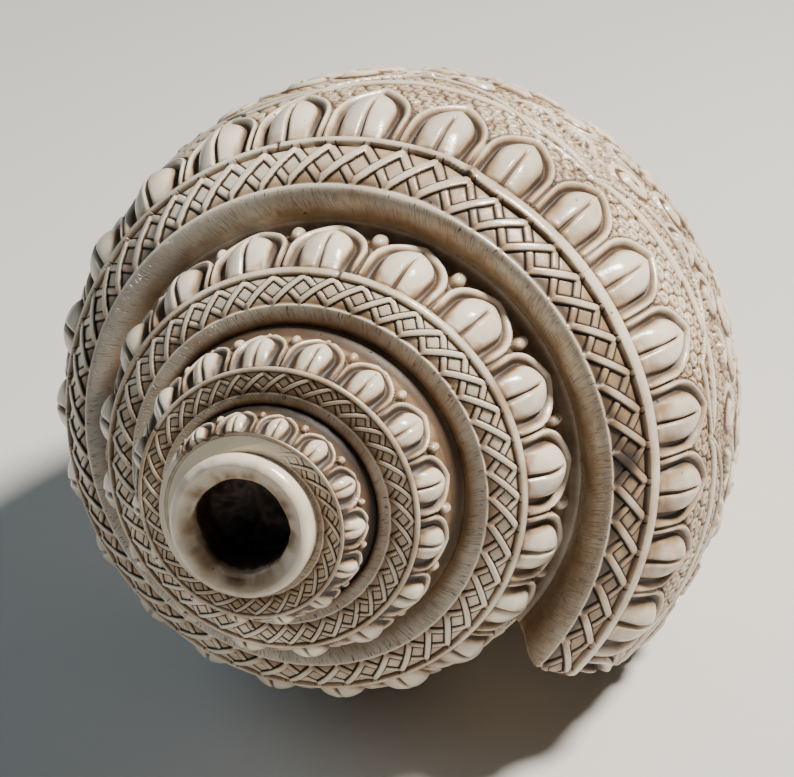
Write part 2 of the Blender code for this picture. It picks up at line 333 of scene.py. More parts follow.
IVORY = (0.82, 0.73, 0.58, 1)
GREY = (0.42, 0.375, 0.32, 1)
TAN = (0.34, 0.215, 0.115, 1)
BROWN = (0.072, 0.041, 0.022, 1)
# Near black: cut lines, pits, nicks and the darkest dirt, and painted shade in grooves and the
# bore.
SOOT_AND_SHADE = (0.014, 0.010, 0.008, 1)
POLISH = 0.22  # roughness of clean shell
SHELL_IOR = 1.53
STRAP_SIDE = 0.185  # from a strap's middle to its line, in straps


def polished_shell(name):
    """Every piece carries its stains with painted shade, and the row, weave and sweep values that
    this finish follows.
    """
    material = bpy.data.materials.new(name)
    material.use_nodes = True
    tree = material.node_tree
    shader = tree.nodes["Principled BSDF"]
    kit = Wire(tree)

    def carried(label, output="Fac"):
        return kit.make("ShaderNodeAttribute", {"attribute_name": label}, {}, output)

    stain_and_shade, row = carried("stain_and_shade"), carried("row")
    straps_up, straps_down, woven = carried("weave", "Vector").parts()
    swept, reach, size = carried("sweep", "Vector").parts()
    place = kit.make("ShaderNodeTexCoord", {}, {}, "Object")
    cloud = kit.noise(place, 38.0, 3.0, 0.55)
    mottle = kit.noise(place, 260.0, 4.0, 0.6)
    grain = kit.noise(place, 1500.0, 3.0, 0.6)

    # Fine lines along both sides of every strap, except where another strap lies over it.
    up_cell, down_cell = kit.maths("FLOOR", straps_up), kit.maths("FLOOR", straps_down)
    over, under = abs(straps_up - up_cell - 0.5), abs(straps_down - down_cell - 0.5)
    middle = (straps_up + straps_down) * 0.5 - 0.5
    on_up = abs(middle - up_cell - 0.5).fades(0.50, 0.53)
    on_down = abs(down_cell - middle - 0.5).fades(0.50, 0.53)
    covered = over.fades(0.15, 0.18) * on_up
    edge_over = abs(over - STRAP_SIDE).fades(0.008, 0.034) * on_up
    edge_under = abs(under - STRAP_SIDE).fades(0.008, 0.034) * on_down * (1.0 - covered)
    lines = edge_over.larger(edge_under) * woven

    # Scratches that slant over the smooth ledges, nicks across their crests, and pits all over.
    scratch_place = kit.vector((swept + reach) * 2.6, (swept - reach) * 0.22, size * 0.05)
    scratches = kit.noise(scratch_place, 1.0, 3.0, 0.65).rises(0.50, 0.66)
    scratches = scratches * (row.rises(0.15, 0.4) * row.fades(0.99, 1.02))
    nick_place = kit.vector(swept * 1.7, reach * 0.45, size * 0.02)
    nicks = kit.noise(nick_place, 1.0, 1.0, 0.5).rises(0.66, 0.72)
    nicks = nicks * row.rises(0.80, 0.92) * row.fades(1.0, 1.05)
    cells = kit.make("ShaderNodeTexVoronoi", {}, {"Vector": place, "Scale": 420.0}, "Distance")
    pits = cells.fades(0.06, 0.13) * mottle.rises(0.56, 0.62)

    # The carried stains and painted shade, mottled: the higher the value, the more tan, brown and
    # then near black.
    dirt_and_shade = stain_and_shade + (mottle - 0.5) * 0.8 + (cloud - 0.45) * 0.9
    worn = cloud.rises(0.38, 0.62, 0.0, 0.4) + row.rises(1.02, 1.06, 0.45, 0.0)
    colour = kit.tint(worn, IVORY, GREY)
    colour = kit.tint(dirt_and_shade.rises(-0.05, 0.60, 0.0, 0.95), colour, TAN)
    colour = kit.tint(dirt_and_shade.rises(0.45, 0.95, 0.0, 0.95), colour, BROWN)
    colour = kit.tint(dirt_and_shade.rises(0.90, 1.50, 0.0, 0.85), colour, SOOT_AND_SHADE)
    colour = kit.tint(scratches * 0.50, colour, BROWN)
    colour = kit.tint((lines * 0.9).larger(pits * 0.75).larger(nicks * 0.8), colour, SOOT_AND_SHADE)
    rough = POLISH + dirt_and_shade.rises(0.1, 1.0, 0.0, 0.32) + (grain - 0.5) * 0.12 + lines * 0.2
    height = ((mottle - 0.5) * 0.10 + (grain - 0.5) * 0.035 - lines * 0.22 - pits * 0.12
              - nicks * 0.12 - scratches * 0.035)
    bump = kit.make("ShaderNodeBump", {}, {"Height": height, "Distance": 0.001, "Strength": 0.9})
    for socket, value in (("Base Color", colour), ("Roughness", rough), ("Normal", bump)):
        tree.links.new(value.socket, shader.inputs[socket])
    shader.inputs["IOR"].default_value = SHELL_IOR
    return material


shell_surface = polished_shell("carved_shell_surface")


# The count of petals and straps along the spiral, and the unevenness of the carver's hand.
TURN_TABLE = np.linspace(-6, 22, 8001)
PETALS_BY_DEGREES = ((-234, -9.1), (-68, -2.5), (6, 0.5), (247, 10.5), (377, 16.5), (598, 26.5),
                     (742, 33.5), (970, 47.5), (1012, 50.5), (1051, 53.5), (1126, 59.5))
EVENED_OVER = range(-12, 13, 3)  # degrees on either side
PETAL_TABLE = np.mean([np.interp(np.degrees(TURN_TABLE) + near, *zip(*PETALS_BY_DEGREES))
                       for near in EVENED_OVER], axis=0)
STRAPS_TO_A_TURN = ((-60, 22), (0, 25), (312, 39), (665, 43.5), (1020, 55))
hand = np.random.default_rng(11)
HAND_CUT = hand.uniform(-1, 1, (8, 140))
FIRST_HAND_CUT = -30  # the petal that the first column is for


def petals_passed(angle):
    return np.interp(angle, TURN_TABLE, PETAL_TABLE)


def by_degrees(angle, *places):
    """A value that changes round the spiral, from pairs of degrees and the value there."""
    return np.interp(np.degrees(angle), *zip(*places))


STRAP_TABLE = (np.cumsum(by_degrees(TURN_TABLE, *STRAPS_TO_A_TURN) / FULL_TURN)
               * (TURN_TABLE[1] - TURN_TABLE[0]))


def uneven(count, kind):
    """A small slow unevenness of the carver's hand, one value for each petal."""
    return np.interp(count, np.arange(HAND_CUT.shape[1]) + FIRST_HAND_CUT, HAND_CUT[kind])


def restless(angle, pace, kind):
    """The same, but changing pace times as often."""
    return uneven(petals_passed(angle) * pace % 100, kind)


def step(value, low, high):
    """0 below low, 1 above high, smooth between."""
    share = np.clip((value - low) / (high - low), 0, 1)
    return share * share * (3 - 2 * share)


def ridge(value, middle, half):
    """A rounded ridge one unit high."""
    return np.sqrt(np.clip(1 - ((value - middle) / half) ** 2, 0, 1))


def blurred(field, cells):
    """field averaged over about that many cells each way."""
    for axis in (0, 1):
        for _ in range(2):
            padded = np.concatenate([field.take([0] * cells, axis), field,
                                     field.take([-1] * cells, axis)], axis)
            total = np.cumsum(padded, axis)
            count = field.shape[axis]
            high = total.take(range(2 * cells - 1, 2 * cells - 1 + count), axis)
            low = total.take(range(0, count), axis)
            field = (high - low) / (2 * cells - 1)
    return field


def cavity(relief):
    """How deep the surface lies below its surroundings: dirt gathers there, and it is painted with
    shade.
    """
    return np.clip((blurred(relief, 5) - relief) / 0.9, 0, 1)


def proud(relief):
    """Where the surface stands out of its surroundings: kept clean by handling, and painted lighter
    as a highlight.
    """
    return 0.4 * np.clip((relief - blurred(relief, 9)) / 0.35, 0, 1)


# The woven straps. Widths are in straps, from one to the next, and heights are in millimetres
# where the turns are large.
STRAP_HALF = (0.15, 0.19)  # where a strap's side begins and ends
CUT_PLACE = 0.18  # from a strap's middle to the cut beside it
STRAP_FLOOR, STRAP_ROUND, STRAP_TOP, CUT_DEPTH = -0.34, 0.20, 0.10, 0.18
LATTICE_BEGINS = (-1.15, -0.55)  # radians over which the straps rise out of the plain tip
LATTICE_EDGE, LATTICE_MARGINS = 1.045, (0.055, 0.035)  # rows: its inner border, and its frame


def woven_band(angle, row, small, edge, low, high):
    """Straps that cross each other and turn back at both borders of the band, in millimetres.
    The ones that lean outwards with the angle lie on top. Also gives how deep the cuts are."""
    straps = np.interp(angle, TURN_TABLE, STRAP_TABLE) + 0.07 * restless(angle, 1.7, 0)
    v = (row - low) / (high - low) + 0.03 * restless(angle, 2.3, 1)
    up, down = straps - v + 0.5, straps + v + 0.5
    over, under = np.abs(up % 1 - 0.5), np.abs(down % 1 - 0.5)
    on_up, on_down = (step(far, -0.03, 0.0) * (1 - step(far, 1.0, 1.03))
                      for far in (straps - np.floor(up), np.floor(down) - straps))
    top = (1 - step(over, *STRAP_HALF)) * on_up
    bottom = (1 - step(under, *STRAP_HALF)) * on_down
    height = STRAP_FLOOR + STRAP_ROUND * bottom * (1 - (under / 0.24) ** 2)
    height = height * (1 - top) + top * (STRAP_TOP - 2.2 * over ** 2)
    cut_over, cut_under = (1 - step(np.abs(side - CUT_PLACE), 0.01, 0.05) for side in (over, under))
    cut = np.maximum(on_up * cut_over, on_down * cut_under * (1 - top))
    inside = step(row, edge - 0.01, edge + 0.03) * (1 - step(row, high + 0.04, high + 0.06))
    inside = inside * step(angle, *LATTICE_BEGINS)
    height = (height - CUT_DEPTH * cut) * inside
    return height * small, cut * inside, np.stack([up, down, inside], -1), v


# The lotus petals. Widths and depths are in pitches, from one petal to the next, and places
# along a petal in its length.
PETAL_HALF, PETAL_WIDEST, PETAL_BULGE = 0.505, 0.60, 0.035
FRAME_MIDDLE, FRAME_HALF = 0.050, 0.054
HEART_TOP, HEART_WIDEST, HEART_DRAWN_IN = 0.81, 0.43, 0.30
HEART_EDGE = 0.34  # how far in from its edge the heart stops rising
FRAME_FOOT, FRAME_RISE, FRAME_TOP = -0.035, 0.053, 0.018
HEART_FOOT, HEART_RISE = -0.078, 0.195
VEIN_DEPTH, COVE_DEPTH, LINE_DEPTH = 0.070, 0.090, 0.05
BETWEEN_DEPTH = 0.11  # of the ground between the petals
COUNTED_OVER = 0.1  # radians on either side, to find the pitch
PETALS_OUT = 1.07  # radius to the petals, in cord radii
PETAL_LENGTHS = ((310, 1.13), (377, 0.95), (430, 1.08), (640, 1.10), (742, 0.97), (975, 0.91),
                 (1000, 0.96), (1026, 0.87), (1064, 0.76), (1101, 0.70))
BEAD_PLACE, BEAD_HALF = 0.83, (0.09, 0.16)
BEAD_FOOT, BEAD_RISE = -0.09, 0.11


def soft_least(a, b, width):
    share = np.clip(0.5 + 0.5 * (b - a) / width, 0, 1)
    return b + (a - b) * share - width * share * (1 - share)


def in_petal(x, y, pitch, length):
    """How far inside a petal's pointed arch a point is, in pitches: straight sides, and above
    the widest level two slanting sides, swelled a little, that meet at the tip."""
    px, py, half, widest = np.abs(x) * pitch, y * length, PETAL_HALF * pitch, PETAL_WIDEST * length
    slant = ((length - py) * half - px * (length - widest)) / np.hypot(half, length - widest)
    slant = slant + PETAL_BULGE * pitch * (px / half) * (1 - np.clip(px / half, 0, 1)) * 4
    return soft_least(half - px, slant, 0.35 * half) / pitch


def in_heart(px, py, half, top, widest):
    """How far inside a heart a point is: two arcs that meet at the top and draw in below."""
    centre = ((top - widest) ** 2 - half ** 2) / (2 * half)
    rise = np.where(py > widest, py - widest, HEART_DRAWN_IN * (widest - py))
    return centre + half - np.hypot(px + centre, rise)


def lotus_petal(x, y, pitch, length, plump):
    """Height and depth of stain of one lotus petal: x in pitches from its middle, y from 0 at
    the cord to 1 at the tip. A rounded frame stands round a domed heart cut by one vein."""
    px, py = np.abs(x) * pitch, y * length
    a = in_petal(x, y, pitch, length)
    frame_height = np.where(a > FRAME_MIDDLE, FRAME_TOP,
                            FRAME_FOOT + FRAME_RISE * ridge(a, FRAME_MIDDLE, FRAME_HALF))
    frame_height = frame_height - COVE_DEPTH * step(a, 0.055, 0.150)
    inner = in_heart(px, py, plump * pitch, HEART_TOP * length, HEART_WIDEST * length) / pitch
    dome = np.sqrt(1 - (1 - np.clip(inner / HEART_EDGE, 0, 1)) ** 2)
    vein_width = (0.014 + 0.022 * np.clip(1 - y / 0.6, 0, 1)) * pitch
    vein = np.exp(-(px / vein_width) ** 2) * (1 - step(y, 0.52, 0.66))
    pillow = 0.50 + 0.50 * step(y, 0.02, 0.38)
    heart = HEART_FOOT + HEART_RISE * dome * pillow - VEIN_DEPTH * vein
    heart = np.where(inner > 0, heart, -9)
    height = np.maximum(frame_height, heart)
    line = 1 - step(np.abs(a), 0.012, 0.030)
    cove = step(a, 0.05, 0.13) * (1 - step(inner, 0.0, 0.06))
    soft = 0.22 + 0.25 * (1 - step(a, 0.0, 0.12)) + 0.25 * (1 - step(y, 0.0, 0.35))
    soft = soft * (1 - step(inner, 0.03, 0.10)) + 0.28 * (1 - step(y, 0.10, 0.34))
    deep = np.maximum(np.maximum(vein * 0.9, line), np.maximum(cove * 0.85, soft))
    return (height - LINE_DEPTH * line) * pitch, deep, a


def petal_frame(angle, reach, marks):
    """Where a point lies in its petal: across in pitches, along in lengths, and their sizes."""
    count = petals_passed(angle)
    which = np.floor(count)
    share = by_degrees(angle, *PETAL_LENGTHS)
    length = (marks[3] - marks[2]) * share * (1 + 0.02 * uneven(which, 3))
    counted = petals_passed(angle + COUNTED_OVER) - petals_passed(angle - COUNTED_OVER)
    pitch = cord_radius(angle) * (2 * COUNTED_OVER * PETALS_OUT * MM) / counted
    y = (reach - marks[2]) / length
    x = (count + 0.02 * uneven(count, 2)) % 1 - 0.5
    return x + 0.03 * uneven(which, 4) * y, y, pitch, length


# The cord's run: degrees, how far the lattice's border is off its usual row, the row of the
# cord's middle and half its width in rows. Near the lip it thins, has a knot and then swells.
CORD_RUN = ((-30, 0.03, 1.95, 0.10), (240, -0.04, 1.87, 0.10), (300, 0.04, 1.95, 0.10),
            (740, 0.04, 1.95, 0.10), (980, 0.10, 2.00, 0.06), (1015, 0.14, 2.045, 0.045),
            (1025, 0.04, 1.93, 0.115), (1060, 0.0, 1.845, 0.128))
KNOT_DEGREES, KNOT_HALF = 1019.5, 0.9
FULL_DEPTH_RADIUS = 40  # millimetres; turns smaller than this are cut less deep
DEPTH_SHARE = (0.42, 1)  # least and most


def carve_whorl(angle, row, reach, marks):
    """Relief of the ledge, the lattice, the cord and the petals, with their stains and painted
    shade.
    """
    cord = cord_radius(angle) * MM
    small = np.clip(cord / FULL_DEPTH_RADIUS, *DEPTH_SHARE)
    wander, cord_row, cord_half = (by_degrees(angle, *((place[0], place[k]) for place in CORD_RUN))
                                   for k in (1, 2, 3))
    edge = LATTICE_EDGE + 0.45 * wander
    relief, cuts, weave, v = woven_band(angle, row, small, edge, edge + LATTICE_MARGINS[0],
                                        cord_row - cord_half - LATTICE_MARGINS[1])
    woven = step(angle, *LATTICE_BEGINS)
    in_band = step(row, edge - 0.01, edge + 0.03) * woven
    # The lattice band is browner along the spiral as listed, with painted shade along its inner
    # border under the ledge's crest. The plain tip before the lattice is lightened: painted light
    # where the lamps leave it dim.
    lattice_tone_and_shade = by_degrees(angle, (300, 0.30), (420, 0.14), (1000, 0.14), (1050, 0.46))
    lattice_tone_and_shade = lattice_tone_and_shade + 0.55 * (1 - step(v, -0.2, 0.40))
    stain_and_shade = cuts * 0.9 + lattice_tone_and_shade * in_band - 0.3 * (1 - woven)

    x, y, pitch, length = petal_frame(angle, reach, marks)
    plump = by_degrees(angle, (60, 0.25), (400, 0.295), (760, 0.325))
    petal, deep, inside = lotus_petal(x, y, pitch, length, plump)
    deep = deep * by_degrees(angle, (60, 1.35), (400, 1.2), (700, 1.0), (820, 0.78))
    begun = step(angle, PETALS_START, PETALS_START + 0.6)
    on_petals = step(row, cord_row + cord_half * 0.9, cord_row + cord_half * 0.9 + 0.03) * begun
    relief = relief + np.where(inside < 0, -BETWEEN_DEPTH * pitch, petal) * on_petals
    bead = np.hypot((0.5 - np.abs(x)) / BEAD_HALF[0],
                    (y - BEAD_PLACE) * length / (BEAD_HALF[1] * pitch))
    beads = (BEAD_FOOT + BEAD_RISE * np.sqrt(np.clip(1 - bead ** 2, 0, 1))) * pitch
    relief = np.where((bead < 1) & (inside < 0), np.maximum(relief, beads), relief)
    stain_and_shade = np.maximum(stain_and_shade, deep * on_petals)
    between = on_petals * step(-inside, 0.0, 0.02)
    between_stain = by_degrees(angle, (60, 0.8), (340, 0.5), (540, 0.3))
    stain_and_shade = np.maximum(stain_and_shade, between * np.where(bead < 0.85, 0.1, between_stain))

    cord_height = ridge(row, cord_row, cord_half)
    cord_top = (0.015 * cord - 0.15 * small) * cord_height
    line = np.exp(-((np.abs(row - cord_row) / cord_half - 1.10) / 0.14) ** 2)
    chip = step(restless(angle, 5.1, 5), 0.80, 0.92)
    knot = np.exp(-((np.degrees(angle) - KNOT_DEGREES) / KNOT_HALF) ** 2)
    cord_top = cord_top * (1 - 0.6 * chip) + 0.4 * knot
    relief = np.where(cord_height > 0, np.maximum(relief, cord_top), relief) - 0.25 * small * line
    stain_and_shade = np.where(cord_height > 0, 0.45 + 0.6 * chip + 0.5 * knot, stain_and_shade)
    return relief, np.maximum(stain_and_shade, 0.75 * line), weave


def ledge_side_shade(angle, row):
    """The ledges are browner on some stretches of each turn and lighter on others, as listed:
    painted shade, darker where the ledges face away from the light.
    """
    amount = by_degrees(angle, (60, 0.38), (300, 0.38), (480, 0.06), (570, 0.18), (660, 0.34),
                        (760, 0.04), (880, -0.06), (940, -0.03), (1010, 0.22), (1126, 0.32))
    return amount * step(row, 0.05, 0.3) * (1 - step(row, 0.99, 1.03))


def carve_spire(angle, row, reach, marks):
    relief, stain_and_shade, weave = carve_whorl(angle, row, reach, marks)
    relief = relief * (1 - step(row, 3.3, 3.9)) * step(row, 0, 0.1)
    # The groove and the ledge's slope into it are darkened, most on the inner turns, and so are the
    # hollows of the relief: dirt and painted shade. Raised places are lighter, and the ledges are
    # shaded by side.
    in_groove = np.maximum(1 - step(row, 0.1, 0.85), step(row, 3.1, 3.8))
    groove_dirt_and_shade = by_degrees(angle + FULL_TURN * (row > 2), (400, 0.95), (700, 0.55), (900, 0.25))
    stain_and_shade = stain_and_shade + 0.5 * cavity(relief) + groove_dirt_and_shade * in_groove + ledge_side_shade(angle, row)
    return relief, stain_and_shade - proud(relief), weave


GROOVE_STEPS = 12
LATTICE_ROWS = ((0, 1, 14), (1, 1.70, 25), (1.70, 2.07, 23))
PETAL_ROWS = (2.07, 3, 56)
SPIRE_ROWS = spaced(*LATTICE_ROWS, PETAL_ROWS, (3, 4, GROOVE_STEPS))
for name, first, last, count in (("spire_tip", -234, 46, 250), ("spire_inner_turn", 46, 406, 490),
                                 ("spire_outer_turn", 406, 766, 720)):
    turn_angles = np.linspace(math.radians(first), math.radians(last), count + 1)
    turn, spire_places = wound_sheet(name, turn_angles, SPIRE_ROWS, False, carve_spire)
    shell_piece(turn, shell_surface)
last_groove = spire_places[-1][-GROOVE_STEPS - 1:]

# ---------------------------------------------------------------------------------------------
# The last turn, in four pieces: the ledge with its lattice, the petals, the pearls and scrolls
# beyond them, and the polished body that narrows to the canal. It ends at the lip.
# ---------------------------------------------------------------------------------------------
LIP_ANGLE = math.radians(1126)
TIP_TO_CANAL = 0.171
CANAL_RADIUS = (0.0140, 0.0245)  # where the last turn begins, and at the lip
WAIST, FULLNESS = 0.45, 1.5  # how the body narrows to the canal


def body_point(angle, share):
    """Point of the last turn between its widest level and the end of the canal."""
    wound = (angle - (LIP_ANGLE - FULL_TURN)) / FULL_TURN
    canal = CANAL_RADIUS[0] + (CANAL_RADIUS[1] - CANAL_RADIUS[0]) * np.maximum(wound, -0.5)
    widest = section_point(angle, *WIDEST)
    waisted = 0.5 + 0.5 * np.cos(math.pi * share)
    full = np.maximum(np.cos(math.pi / 2 * share), 0) ** FULLNESS
    narrow = WAIST * waisted + (1 - WAIST) * full
    return (canal + (widest[0] - canal) * narrow,
            widest[1] + (-TIP_TO_CANAL - widest[1]) * share)


CELLS = hand.uniform(0, 1, (3, 4096))


def pebbled(x, y, jitter):
    """Rounded cells of about one unit: distance to the nearest middle, how much nearer it is
    than the next one, one random number for each cell, and the way from its middle."""
    near = np.full(x.shape, 9.0)
    second, chance = near.copy(), np.zeros(x.shape)
    way = np.zeros(x.shape + (2,))
    for dx in (-1, 0, 1):
        for dy in (-1, 0, 1):
            cy = np.floor(y) + dy
            shifted = x - 0.5 * (cy % 2)
            cx = np.floor(shifted) + dx
            spot = ((cx * 61 + cy * 157) % CELLS.shape[1]).astype(int)
            ax = shifted - cx - 0.5 - jitter * (CELLS[0, spot] - 0.5)
            ay = y - cy - 0.5 - jitter * (CELLS[1, spot] - 0.5)
            far = np.hypot(ax, ay)
            closer = far < near
            second = np.where(closer, near, np.minimum(second, far))
            near = np.where(closer, far, near)
            chance = np.where(closer, CELLS[2, spot], chance)
            way = np.where(closer[..., None], np.stack([ax, ay], -1), way)
    return near, second - near, chance, way


def punched(x, y, size):
    """Small round pearls with a dot in the middle of each, in millimetres, and their stain."""
    near, gap, chance, _ = pebbled(x / size, y / size, 0.35)
    round_top = np.sqrt(np.clip(1 - (near / 0.60) ** 2, 0, 1))
    cut = 1 - step(gap, 0.0, 0.20)
    dot = 1 - step(near, 0.12, 0.22)
    height = -0.62 + 0.42 * round_top + 0.10 * chance - 0.30 * cut - 0.20 * dot
    return height, np.clip(0.30 + 0.65 * cut + 0.35 * dot - 0.15 * chance, 0, 1.2)


# Sizes beyond the petals are in millimetres where the cord's radius is ORNAMENT_RADIUS.
ORNAMENT_RADIUS = 45
PETAL_WIDTH = 10.8
LAPPETS = 3.7  # petals to one lappet of the border beyond them
LAPPET_START = petals_passed(math.radians(1035.5))
PEARL, SCALE = 2.15, 1.55
SCROLL = (8.5, 6.6)  # along the turn and across it
BORDER_PLACE, BORDER_HALF = 27.5, 1.0
RING_ROWS = (4.34, 4.36, 4.80, 4.815, 4.83)
LIP_ROUND, CANAL_ROUND = 1.1, 1.0  # radii of the worn edges
LAST_CARVED_ROW = 4.2
DARK_PATCH = (1081, 1.30)  # degrees and row of a damaged place in the lattice


def carve_beyond(angle, past):
    """Relief and stain past the petals: pearls under a scalloped fillet, then scales with
    scrolls among them, and a border. past is how far a place lies beyond the petals' tips."""
    count = petals_passed(angle)
    along = count * PETAL_WIDTH
    share = ((count - LAPPET_START) / LAPPETS) % 1
    swag = 0.9 + 4.0 * (1 - np.abs(2 * share - 1) ** 2) ** 0.7
    second = 0.9 + 8.6 * np.sin(math.pi * np.clip(share / 0.74, 0, 1)) ** 0.8
    pearls, pearls_stain = punched(along, past, PEARL)
    scales, scales_stain = punched(along + 3, past * 1.1, SCALE)
    near, _, chance, way = pebbled(along / SCROLL[0] + 3,
                                   (past - 0.5 * swag) / SCROLL[1] + 0.3, 0.5)
    bearing = np.arctan2(way[..., 1], way[..., 0])
    spin = np.where(chance > 0.5, 1, -1)
    coil = np.cos(FULL_TURN * near * 3.0 + spin * bearing + 6 * chance)
    scroll_leaf = 1 - step(near, 0.36, 0.50)
    scroll = -0.70 + (1.15 - 1.1 * near + 0.30 * coil) * scroll_leaf
    scroll_stain = 0.15 + 0.7 * (1 - step(coil, -0.9, -0.1)) * scroll_leaf
    open_scroll = step(past, swag + 4.5, swag + 5.2) * scroll_leaf
    field = scales + (np.maximum(scroll, scales) - scales) * step(open_scroll, 0.0, 0.3)
    field_stain = scales_stain + (scroll_stain - scales_stain) * step(open_scroll, 0.1, 0.5)
    fields = np.where(past < swag, pearls, field)
    fields_stain = np.where(past < swag, pearls_stain, field_stain)
    for middle, half in ((swag, 1.0), (second, 0.55)):
        fillet, line = ridge(past, middle, half), np.abs(past - middle) - half * 1.05
        fields = np.where(fillet > 0, np.maximum(fields, -0.55 + 0.60 * fillet), fields)
        fields_stain = np.where(fillet > 0.2, 0.05, fields_stain)
        line = np.exp(-(line / 0.16) ** 2)
        fields, fields_stain = fields - 0.25 * line, np.maximum(fields_stain, 0.95 * line)
    border = ridge(past, BORDER_PLACE, BORDER_HALF)
    plain = step(past, 26.0, 26.4)
    fields = fields * (1 - plain) + plain * (-0.45 + 0.5 * border)
    return np.maximum(fields, -1.2), fields_stain * (1 - plain) + plain * 0.3 * (border < 0.3)


def rounded_off(past, radius):
    """How far a corner is cut back: past is how far a place lies into its last radius."""
    return radius - np.sqrt(np.clip(radius ** 2 - np.clip(past, 0, radius) ** 2, 0, None))


def carve_last(angle, row, reach, marks):
    relief, stain_and_shade, weave = carve_whorl(angle, row, reach, marks)
    x, y, pitch, length = petal_frame(angle, reach, marks)
    inside = in_petal(x, y, pitch, length)
    past = (y - 1) * length / (cord_radius(angle) * MM / ORNAMENT_RADIUS)
    fields, fields_stain = carve_beyond(angle, past)
    beyond = (inside < 0) & (row > 2.3)
    fade = step(past, 28.4, 30.5)
    edge_line = 1 - step(-inside, 0.0, 0.035)
    relief = np.where(beyond, fields * (1 - fade), relief)
    stain_and_shade = np.where(beyond, np.maximum(fields_stain, edge_line) * (1 - fade), stain_and_shade)

    rings = sum(np.exp(-((row - r) / 0.004) ** 2) for r in RING_ROWS)
    grown = 0.05 * np.sin(7 * row + 260 * angle) * np.sin(23 * angle + 2 * row)
    bare = step(row, LAST_CARVED_ROW, LAST_CARVED_ROW + 0.1)
    relief = relief + bare * (0.6 * grown - 0.35 * rings)
    stain_and_shade = stain_and_shade + bare * (0.8 * rings + 0.12 + 0.5 * np.clip(grown * 8, 0, 1) * 0.3)

    relief = relief * step(row, 0, 0.1)
    carved = row < LAST_CARVED_ROW
    # As on the spire, the groove and the hollows are darkened with dirt and painted shade, raised
    # places are lighter, and the ledges are shaded by side.
    in_groove = 1 - step(row, 0.1, 0.85)
    patch = np.hypot((np.degrees(angle) - DARK_PATCH[0]) / 2.2, (row - DARK_PATCH[1]) / 0.20)
    stain_and_shade = stain_and_shade + 0.8 * (cavity(relief) * carved) + 0.30 * in_groove + ledge_side_shade(angle, row)
    stain_and_shade = stain_and_shade - proud(relief) * carved + 1.1 * np.exp(-patch ** 2)
    radius = np.linalg.norm(surface(angle, row, True)[..., :2], axis=-1) * MM
    lip = rounded_off((angle - LIP_ANGLE) * radius + LIP_ROUND, LIP_ROUND) * step(row, 0, 0.3)
    rounding = np.maximum(lip, rounded_off(reach - marks[5] + CANAL_ROUND, CANAL_ROUND))
    return relief * (1 - np.clip(rounding / LIP_ROUND, 0, 1)) - rounding, stain_and_shade, weave


TURN_START = LIP_ANGLE - FULL_TURN
lip_steps = LIP_ANGLE - np.array([0.022, 0.017, 0.0125, 0.0085, 0.005, 0.0025, 0.0008, 0.0])
turn_angles, sparse_angles = (
    np.concatenate([np.linspace(TURN_START, LIP_ANGLE - 0.028, count), lip_steps])
    for count in (1201, 401))
canal_rows = [4.9935, 4.9955, 4.997, 4.9985, 4.9995, 5.0]
last_pieces = (
    ("last_turn_lattice", turn_angles, spaced(*LATTICE_ROWS)),
    ("last_turn_petals", turn_angles, spaced(PETAL_ROWS)),
    ("last_turn_scrolls", turn_angles, spaced((3, 3.9, 46), (3.9, 4.22, 36))),
    ("last_turn_body", sparse_angles, np.append(spaced((4.22, 4.99, 50)), canal_rows)),
)
end_column, start_column = [], []
for name, angles, rows in last_pieces:
    turn, places = wound_sheet(name, angles, rows, True, carve_last)
    shell_piece(turn, shell_surface)
    end_column += list(places[-1][1 if end_column else 0:])
    if rows[0] >= 3:
        start_column += list(places[0][1 if start_column else 0:])
canal_edge = places[:, -1]

# ---------------------------------------------------------------------------------------------
# The blow hole: a thick smooth rim where the tip was sawn off, worn round and a little uneven
# on its inner edge, and a bore painted dark as shade that ends in the rough start of the chamber.
# ---------------------------------------------------------------------------------------------
RIM_TOP, RIM_FOOT = -0.0086, -0.0198
HOLE_RADIUS = 0.0063
BORE_FLOOR, FLOOR_SAG = -0.0168, 0.0007
OUTER_ROUND = (0.0013, 0.0016)  # across the axis and along it
INNER_ROUND = 0.0006
RIM_LEAN = 0.0006
INNER_SLOPE = 0.0080  # inside this radius the rim slopes to the hole
NO_ROW = 9.0  # for places that have no lattice or ledge


def share_of(part, whole):
    return min(max(part / whole, 0), 1)


def plain_fields(stain_and_shade, places):
    """Values for surfaces without lattice or ledge."""
    return {"stain_and_shade": stain_and_shade, "row": np.full(len(stain_and_shade), NO_ROW), "weave": np.zeros((len(stain_and_shade), 3)),
            "sweep": np.array(places) * MM}


quarter = math.pi / 2
profile = [(RIM_RADIUS - 0.0003, z) for z in np.linspace(RIM_FOOT, RIM_TOP - 0.0024, 12)]
profile += [(RIM_RADIUS - 0.0015 + OUTER_ROUND[0] * math.cos(turn),
             RIM_TOP - OUTER_ROUND[1] + OUTER_ROUND[1] * math.sin(turn))
            for turn in np.linspace(0, quarter, 12)[1:]]
profile += [(HOLE_RADIUS + INNER_ROUND - INNER_ROUND * math.sin(turn),
             RIM_TOP - 0.0017 + INNER_ROUND * math.cos(turn))
            for turn in np.linspace(0, quarter, 8)]
profile += [(HOLE_RADIUS, z) for z in np.linspace(RIM_TOP - 0.0023, BORE_FLOOR, 20)]
profile += [(HOLE_RADIUS * (1 - t), BORE_FLOOR - FLOOR_SAG * math.sin(quarter * t))
            for t in np.linspace(0, 1, 14)[1:]]
rim_mesh = bmesh.new()
spots = [rim_mesh.verts.new((r, 0, z)) for r, z in profile]
outline = [rim_mesh.edges.new(pair) for pair in zip(spots, spots[1:])]
bmesh.ops.spin(rim_mesh, geom=spots + outline, axis=(0, 0, 1), cent=(0, 0, 0), angle=FULL_TURN,
               steps=240, use_duplicate=False)
bmesh.ops.remove_doubles(rim_mesh, verts=rim_mesh.verts, dist=0.000002)
